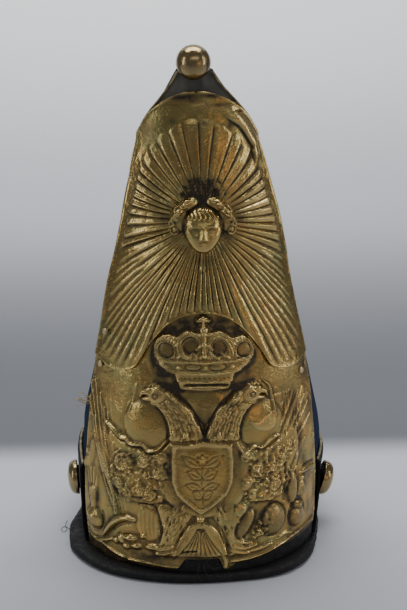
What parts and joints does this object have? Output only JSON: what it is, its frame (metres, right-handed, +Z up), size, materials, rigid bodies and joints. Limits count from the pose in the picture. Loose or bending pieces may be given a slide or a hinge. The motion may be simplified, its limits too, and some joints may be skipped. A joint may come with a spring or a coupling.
{
  "type": "mitre cap",
  "caption": "Tall pointed military mitre cap: embossed brass front plates on a cloth-covered board, cloth bag behind, black turn-up and rolled rim, ball at the tip.",
  "frame": {"origin": "middle of the whole cap in plan, on the surface that its rim rests on", "axes": "+Z up the cap, -Y out of the front plate, +X to the left hand of the wearer"},
  "size_m": [0.193, 0.21, 0.3488],
  "materials": {
    "plate_brass": "embossed sheet, old lacquer, dark patina in the hollows, rubbed bright on the high places",
    "bright_brass": "polished by handling",
    "metal_cord": "tarnished metal cord",
    "blue_cloth": "dark blue fulled wool, worn",
    "black_cloth": "black fulled wool, worn and dusty",
    "pale_piping": "faded piping",
    "black_leather": "soft blackened leather, wrinkled"
  },
  "bodies": {
    "root": {"front_panel": "blue_cloth", "bag": "blue_cloth", "upper_plate": "plate_brass", "lower_plate": "plate_brass", "peak_binding_left": "metal_cord", "peak_binding_right": "metal_cord", "finial": "bright_brass", "head_band": "black_cloth", "band_piping": "pale_piping", "boss_left": "bright_brass", "boss_right": "bright_brass", "base_rim": "black_leather", "rivet_left_upper": "bright_brass", "rivet_left_lower": "bright_brass", "rivet_right": "bright_brass"}
  },
  "joints": []
}
